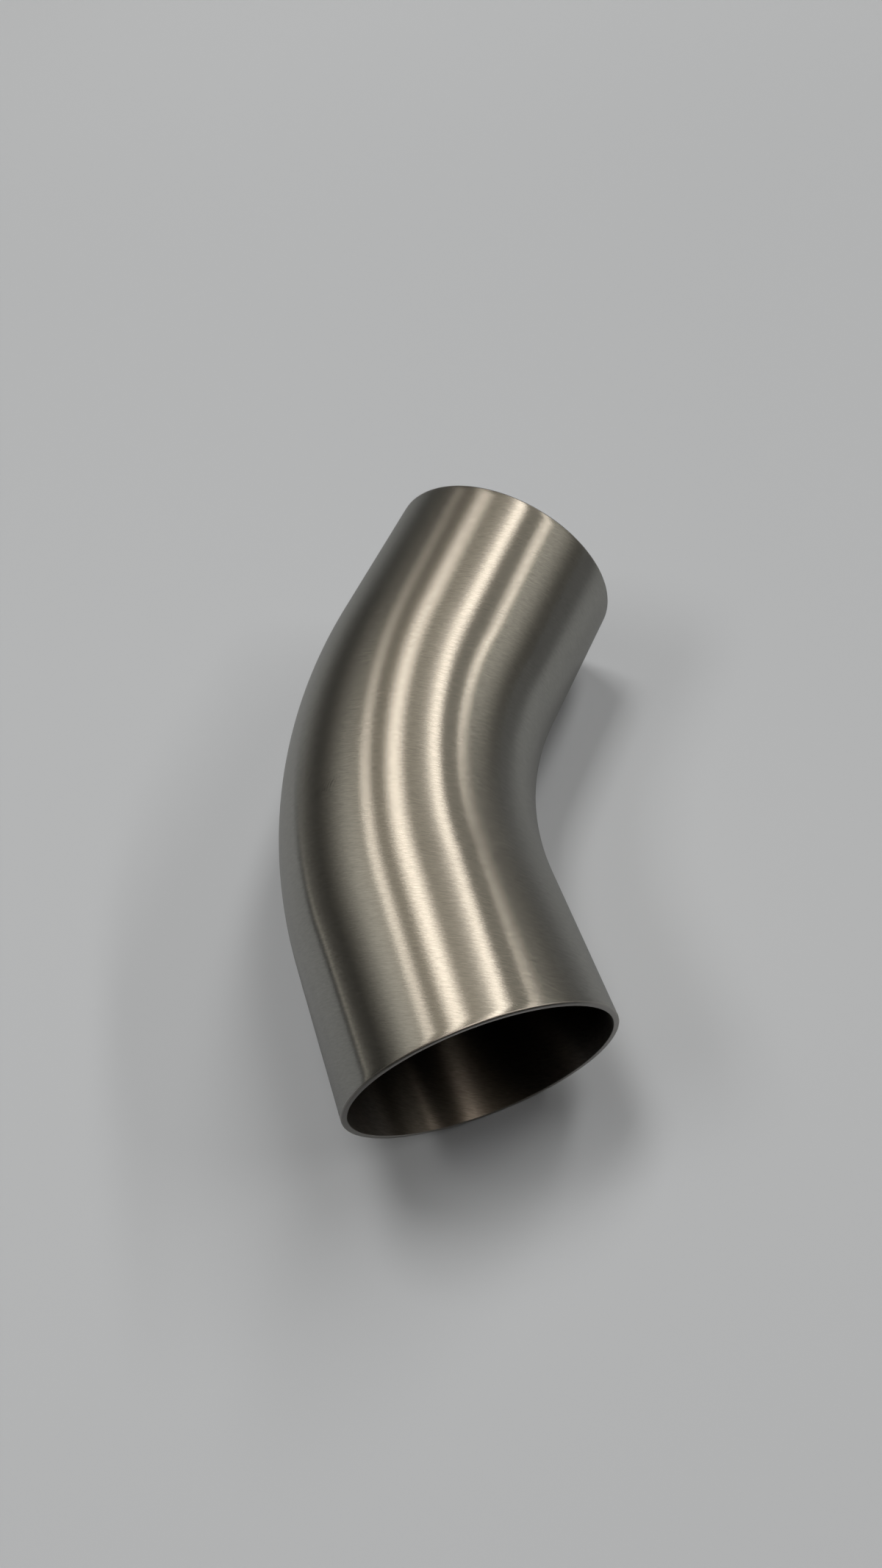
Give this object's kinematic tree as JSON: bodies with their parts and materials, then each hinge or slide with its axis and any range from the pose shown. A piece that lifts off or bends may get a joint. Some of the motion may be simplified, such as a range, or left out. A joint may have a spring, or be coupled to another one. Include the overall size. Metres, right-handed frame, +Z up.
{
  "type": "pipe bend",
  "caption": "Thin-walled stainless steel tube bend that turns a pipe run through forty-five degrees, with short straight tangents and open square ends for butt welding.",
  "frame": {"origin": "on the surface that the bend lies on, below the middle of its bounding box", "axes": "+Z up from the surface, with the bend's plane level; +Y across the two open ends, square to the plane that mirrors one half of the bend onto the other; +X from the outside of the curve towards the inside"},
  "size_m": [0.099, 0.199, 0.0762],
  "materials": {
    "brushed_stainless": "satin, with fine brush lines round the tube inside and out"
  },
  "bodies": {
    "root": {"pipe_bend": "brushed_stainless"}
  },
  "joints": []
}
